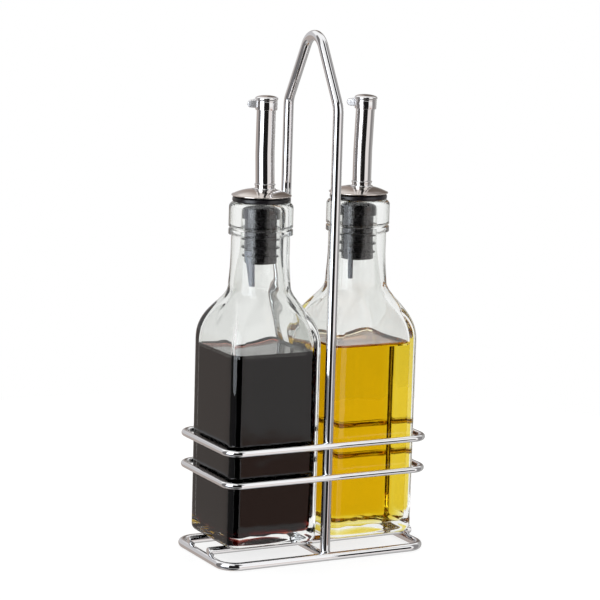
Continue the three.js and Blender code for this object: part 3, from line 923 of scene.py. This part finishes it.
def head_piece(name, material, satin):
    """The collar on the tube's top, with two ears for the pin."""
    outline = [(HEAD_BORE, HEAD_UNDER), (HEAD - 0.15, HEAD_UNDER)]
    outline += lower_edge(HEAD, HEAD_UNDER, HEAD_EDGE, 3)
    outline += HEAD_GROOVE
    outline += upper_edge(HEAD, HEAD_TOP, HEAD_EDGE, 3)
    outline += [(HEAD_MOUTH, HEAD_TOP), (HEAD_MOUTH, HEAD_STOP), (HEAD_BORE, HEAD_STOP)]
    collar = turned(f"{name}_head", outline, [material], closed=True)
    ears = []
    for from_y, to_y in EAR_SPANS:
        ear = hinge_plate("ear", EAR, from_y, to_y, satin)
        hole = hinge_bar("cut_pin", [(EAR_HOLE, -HOLE_HALF), (EAR_HOLE, HOLE_HALF)], satin)
        ears.append(join_solids(ear, hole, operation="DIFFERENCE"))
    return join_solids(collar, *ears)


def cap_piece(name, material, satin):
    """A small domed lid with a tongue that turns on the pin."""
    outline = [(AXIS, LID_UNDER)]
    outline += lower_edge(LID, LID_UNDER, LID_EDGE, 3)
    outline += [(LID, LID_UNDER + LID_WALL)]
    for degrees in CROWN_ANGLES:
        angle = math.radians(degrees)
        height = LID_UNDER + CROWN_FOOT + CROWN_HEIGHT * math.sin(angle)
        outline.append((CROWN * math.cos(angle), height))
    outline += [(AXIS, LID_UNDER + CROWN_FOOT + CROWN_HEIGHT)]
    lid = turned(f"{name}_cap", outline, [material])
    tongue = hinge_plate("tongue", TONGUE, -TONGUE_HALF, TONGUE_HALF, satin)
    hole = hinge_bar("cut_pin", [(TONGUE_HOLE, -HOLE_HALF), (TONGUE_HOLE, HOLE_HALF)], material)
    room = turned("cut_room", [(LID, -3), (LID, LID_UNDER)], [material], sides=64)
    join_solids(tongue, hole, room, operation="DIFFERENCE")
    return join_solids(lid, tongue)


def pin_piece(name, material):
    outline = [(AXIS, -PIN_HALF)] + lower_edge(PIN, -PIN_HALF, PIN_EDGE, 3)
    outline += upper_edge(PIN, PIN_HALF, PIN_EDGE, 3) + [(AXIS, PIN_HALF)]
    return hinge_bar(f"{name}_pin", outline, material)


def make_pourer(name, looks):
    pose = POSES[name]
    low, high = box_mm(f"{name}_bottle")
    centre = Vector(((low.x + high.x) / 2, 0, 0)) * MM
    stand = Matrix.Translation(centre) @ Matrix.Rotation(math.radians(pose["turn"]), 4, "Z")
    spout = stand @ Matrix.Translation((SPOUT_OFFSET * MM, 0, TUBE_FOOT * MM))
    spout = spout @ Matrix.Rotation(math.radians(pose["lean"]), 4, "Y")
    tip = Vector((bend_shift(TUBE_LENGTH), 0, TUBE_LENGTH)) * MM
    head = spout @ Matrix.Translation(tip) @ Matrix.Rotation(BEND, 4, "Y")
    offset = stand @ Matrix.Translation((SPOUT_OFFSET * MM, 0, 0))
    body = f"{name}_pourer"

    stopper = place(stopper_piece(name, VENTS[name], looks["stopper"]), stand)
    finish_piece(stopper, body, "stopper_plastic", f"{name}_stopper")
    vent = place(vent_piece(name, VENTS[name], looks[f"{name}_vent"]), stand)
    finish_piece(vent, body, "vent_plastic", f"{name}_vent_tube")
    dome = place(dome_piece(name, looks["dome"]), stand)
    finish_piece(dome, body, "dome_steel", f"{name}_pourer_dome")
    ferrule = place(ferrule_piece(name, looks["spout"]), offset)
    finish_piece(ferrule, body, "spout_chrome", f"{name}_ferrule")
    tube = place(tube_piece(name, looks["spout"]), spout)
    finish_piece(tube, body, "spout_chrome", f"{name}_spout_tube")
    collar = place(head_piece(name, looks["spout"], looks["hinge"]), head)
    finish_piece(collar, body, "spout_chrome", f"{name}_spout_head")
    pin = place(pin_piece(name, looks["hinge"]), head)
    finish_piece(pin, body, "spout_chrome", f"{name}_hinge_pin")
    cap = place(cap_piece(name, looks["spout"], looks["hinge"]), head)
    finish_piece(cap, f"{name}_cap", "spout_chrome", f"{name}_flip_cap")


# ------------------------------------------------------------------------------ studio

CAMERA_AT = Vector((-538.99, -1011.92, 314.43)) * MM
CAMERA_RIGHT = Vector((0.88593, -0.46297, 0.02826))
CAMERA_UP = Vector((0.05096, 0.15770, 0.98617))
CAMERA_BACK = Vector((-0.46102, -0.87223, 0.16331))
CAMERA_LENS = 142.14

# The studio's front is the side that the camera stands at.
FRONT = Vector((CAMERA_BACK.x, CAMERA_BACK.y, 0)).normalized()
RIGHT = Vector((-FRONT.y, FRONT.x, 0))
TABLE_RADIUS = 380
SOFTBOX_ANGLES = (-65, -29)
SOFTBOX_DISTANCE = 500
SOFTBOX_HEIGHT = 520
SOFTBOX_COLOUR = (0.88, 0.93, 1, 1)
SOFTBOX_STRENGTH = 3.2
FLAG_FRONT = -200
FLAG_EDGES = (97, 165, -60, 70)  # left, right, low, high
FLAG_COLOUR = (0.004, 0.004, 0.004, 1)


def make_camera():
    data = bpy.data.cameras.new("camera")
    data.sensor_width = 36
    data.lens = CAMERA_LENS
    data.clip_start = 0.05
    camera = bpy.data.objects.new("camera", data)
    turn = Matrix((CAMERA_RIGHT, CAMERA_UP, CAMERA_BACK)).transposed()
    camera.matrix_world = Matrix.Translation(CAMERA_AT) @ turn.to_4x4()
    bpy.context.scene.collection.objects.link(camera)
    bpy.context.scene.camera = camera


def make_floor():
    """A pale round table top. Reflections see the studio's zones in its place."""
    ring = [(*point, 0) for point in arc(0, 0, TABLE_RADIUS, 0, 354, 59)]
    floor = mesh_piece("floor", ring, [tuple(range(len(ring)))], [floor_material()])
    floor.visible_glossy = False


def between(tree, source, output, low, high, soft):
    """1 where a value lies between low and high, 0 elsewhere, with soft edges."""
    both = node(tree, "Math", operation="MULTIPLY")
    for to, edge, start, end in ((0, low, 0.0, 1.0), (1, high, 1.0, 0.0)):
        values = {"From Min": edge - soft, "From Max": edge + soft, "To Min": start, "To Max": end}
        step = node(tree, "MapRange", values, interpolation_type="SMOOTHSTEP")
        link(tree, source, step, output, "Value")
        link(tree, step, both, 0, to)
    return both


def along(tree, direction, axis):
    """How far a ray's direction points along an axis."""
    dot = node(tree, "VectorMath", operation="DOT_PRODUCT")
    dot.inputs[1].default_value = axis
    link(tree, direction, dot, "Generated", 0)
    return dot


# What shiny surfaces see, each zone over the ones before it. A zone has its azimuth's ends and their
# softness in degrees from the studio's front, positive to the right, then its height's ends and their
# softness, where height is the sine of the elevation, and its colour.
STUDIO_ZONES = (
    ((-200, 200), 1, (-1.5, -0.42), 0.08, (0.55, 0.55, 0.55)),  # the table, close by
    ((-72, -28), 3, (-1.5, 0.02), 0.03, (0.18, 0.18, 0.19)),  # under the softbox
    ((-200, -106), 8, (-1.5, -0.02), 0.08, (0.44, 0.385, 0.36)),  # behind at the left, low
    ((-200, -106), 8, (-0.02, 0.50), 0.08, (0.58, 0.57, 0.58)),  # and above that
    ((118, 200), 8, (-1.5, 0.50), 0.10, (0.42, 0.41, 0.40)),  # behind at the right
    ((-106, -70), 4, (-0.70, 0.78), 0.08, (0.18, 0.17, 0.17)),  # dark strip at the left
    ((74, 118), 5, (-0.70, 0.78), 0.08, (0.26, 0.25, 0.25)),  # dark strip at the right
    ((30, 74), 4, (-1.5, 0.0), 0.10, (0.86, 0.82, 0.81)),  # the table, to the right
    ((44, 68), 3, (-0.30, -0.2225), 0.006, (0.53, 0.345, 0.29)),  # a brown stretch of it
    ((-200, -168), 10, (0.12, 0.80), 0.15, (0.36, 0.31, 0.285)),  # brown, high behind
    ((155, 200), 14, (0.12, 0.80), 0.15, (0.17, 0.145, 0.13)),  # darker brown beside that
    ((-25, 32), 2.5, (-0.50, 0.70), 0.08, (0.012, 0.011, 0.011)),  # the dark gap in front
    ((8, 56), 5, (0.60, 0.97), 0.05, (0.02, 0.02, 0.02)),  # over the gap
    ((-50, 40), 5, (-1.5, -0.66), 0.06, (0.03, 0.03, 0.03)),  # under the gap
)


def zone_colour(tree, direction):
    """The socket of the colour that shiny surfaces see in a direction."""
    azimuth = node(tree, "Math", operation="ARCTAN2")
    link(tree, along(tree, direction, RIGHT), azimuth, "Value", 0)
    link(tree, along(tree, direction, FRONT), azimuth, "Value", 1)
    height = along(tree, direction, Vector((0, 0, 1)))
    seen = node(tree, "RGB")
    seen.outputs[0].default_value = (1, 1, 1, 1)
    result = seen.outputs[0]
    for ends, edge, (low, high), soft, colour in STUDIO_ZONES:
        left, right = (math.radians(end) for end in ends)
        mask = node(tree, "Math", operation="MULTIPLY")
        link(tree, between(tree, azimuth, 0, left, right, math.radians(edge)), mask, 0, 0)
        link(tree, between(tree, height, "Value", low, high, soft), mask, 0, 1)
        mix = node(tree, "Mix", data_type="RGBA")
        mix.inputs["B"].default_value = (*colour, 1)
        link(tree, mask, mix, 0, "Factor")
        tree.links.new(result, mix.inputs["A"])
        result = mix.outputs["Result"]
    return result


def zone_share(tree, direction):
    """How much of the zones a ray sees: all if it was reflected, and none if it passed through glass,
    unless it points back towards the studio's front."""
    path = node(tree, "LightPath")
    values = {"From Min": -0.2, "From Max": 0.4, "To Min": 1.0, "To Max": 0.0}
    frontward = node(tree, "MapRange", values, interpolation_type="SMOOTHSTEP")
    link(tree, along(tree, direction, -FRONT), frontward, "Value", "Value")
    share = node(tree, "Mix", data_type="FLOAT")
    link(tree, path, share, "Is Transmission Ray", "Factor")
    link(tree, path, share, "Is Glossy Ray", "A")
    link(tree, frontward, share, 0, "B")
    return share


def make_world():
    """A white studio. Reflections see its zones instead."""
    world = bpy.data.worlds.new("studio")
    world.use_nodes = True
    tree = world.node_tree
    tree.nodes.clear()
    direction = node(tree, "TexCoord")
    choose = node(tree, "Mix", data_type="RGBA")
    choose.inputs["A"].default_value = (1, 1, 1, 1)
    link(tree, zone_share(tree, direction), choose, "Result", "Factor")
    tree.links.new(zone_colour(tree, direction), choose.inputs["B"])
    background = node(tree, "Background", {"Strength": 1.0})
    tree.links.new(choose.outputs["Result"], background.inputs["Color"])
    out = node(tree, "OutputWorld")
    link(tree, background, out, 0, "Surface")
    bpy.context.scene.world = world


def only_reflected(card):
    """Leaves a card to reflected and refracted rays."""
    for kind in ("camera", "diffuse", "volume_scatter", "shadow"):
        setattr(card, "visible_" + kind, False)
    return card


def make_softbox():
    """A tall lamp at the left that only reflections and refractions see."""
    material, tree = new_material("softbox")
    glow = node(tree, "Emission", {"Color": SOFTBOX_COLOUR, "Strength": SOFTBOX_STRENGTH})
    output_surface(tree, glow)
    ends = []
    for angle in SOFTBOX_ANGLES:
        turn = math.radians(angle)
        ends.append((FRONT * math.cos(turn) + RIGHT * math.sin(turn)) * SOFTBOX_DISTANCE)
    up = Vector((0, 0, SOFTBOX_HEIGHT))
    points = [ends[0], ends[1], ends[1] + up, ends[0] + up]
    only_reflected(mesh_piece("softbox", points, [(0, 1, 2, 3)], [material]))


def make_flag():
    """A small black card that keeps the studio's glare off the front of the right bottle."""
    material, tree = new_material("flag_black")
    output_surface(tree, node(tree, "Emission", {"Color": FLAG_COLOUR, "Strength": 1.0}))
    left, right, low, high = FLAG_EDGES
    points = [(x, FLAG_FRONT, z) for x, z in ((left, low), (right, low), (right, high), (left, high))]
    only_reflected(mesh_piece("flag", points, [(0, 1, 2, 3)], [material]))


def make_studio():
    make_camera()
    make_floor()
    make_world()
    make_softbox()
    make_flag()
    scene = bpy.context.scene
    scene.view_settings.view_transform = "Standard"
    scene.cycles.max_bounces = 24
    scene.cycles.transmission_bounces = 24
    scene.cycles.glossy_bounces = 10
    scene.cycles.transparent_max_bounces = 24


# ------------------------------------------------------------------------------ assembly


# Moulded plastics: dark shade, light shade, roughness, shine, translucency.
PLASTICS = {
    "stopper": ((0.005, 0.004, 0.006), (0.010, 0.008, 0.010), 0.27, 0.65, 0.0),
    # The vinegar vent's shades are lighter than the oil vent's shades of the same plastic. This is a
    # painted highlight for the softbox light that it catches.
    "vinegar_vent": ((0.25, 0.27, 0.33), (0.32, 0.34, 0.4), 0.35, 0.5, 0.2),
    "oil_vent": ((0.07, 0.08, 0.10), (0.11, 0.12, 0.15), 0.35, 0.5, 0.2),
}

# Metals: colour, roughness where smooth, roughness where worn, waviness.
WIRE_CHROME = ((0.9, 0.9, 0.91), 0.03, 0.06, 0.002)
DOME_STEEL = ((0.76, 0.70, 0.66), 0.05, 0.1, 0.02)
HINGE_CHROME = ((0.8, 0.79, 0.79), 0.42, 0.5, 0.02)
SPOUT_CHROME = ((0.88, 0.865, 0.86), 0.03, 0.06, 0.004)

# Liquids: colour that passes, and how strongly the rest is absorbed.
LIQUIDS = {
    "vinegar": ((0.68, 0.28, 0.15), 1150.0),
    "oil": ((0.94, 0.846, 0.01), 133.0),
}


def make_cruets():
    glass = clear_glass()
    wetted = wetted_glass()
    looks = {key: moulded(key + "_plastic", *values) for key, values in PLASTICS.items()}
    looks["dome"] = chrome("dome_steel", *DOME_STEEL)
    looks["hinge"] = chrome("hinge_satin_chrome", *HINGE_CHROME)
    looks["spout"] = chrome("spout_chrome", *SPOUT_CHROME)
    for name in CRUETS:
        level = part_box(f"{name}_fill")[1].z
        bottle = bottle_piece(name, glass, wetted)
        finish_piece(bottle, f"{name}_bottle", "bottle_glass", f"{name}_bottle")
        fill = fill_piece(name, liquid(f"{name}_liquid", level, *LIQUIDS[name]))
        finish_piece(fill, f"{name}_bottle", f"{name}_liquid", f"{name}_fill")
        make_pourer(name, looks)


make_studio()
make_rack(chrome("wire_chrome", *WIRE_CHROME))
make_cruets()
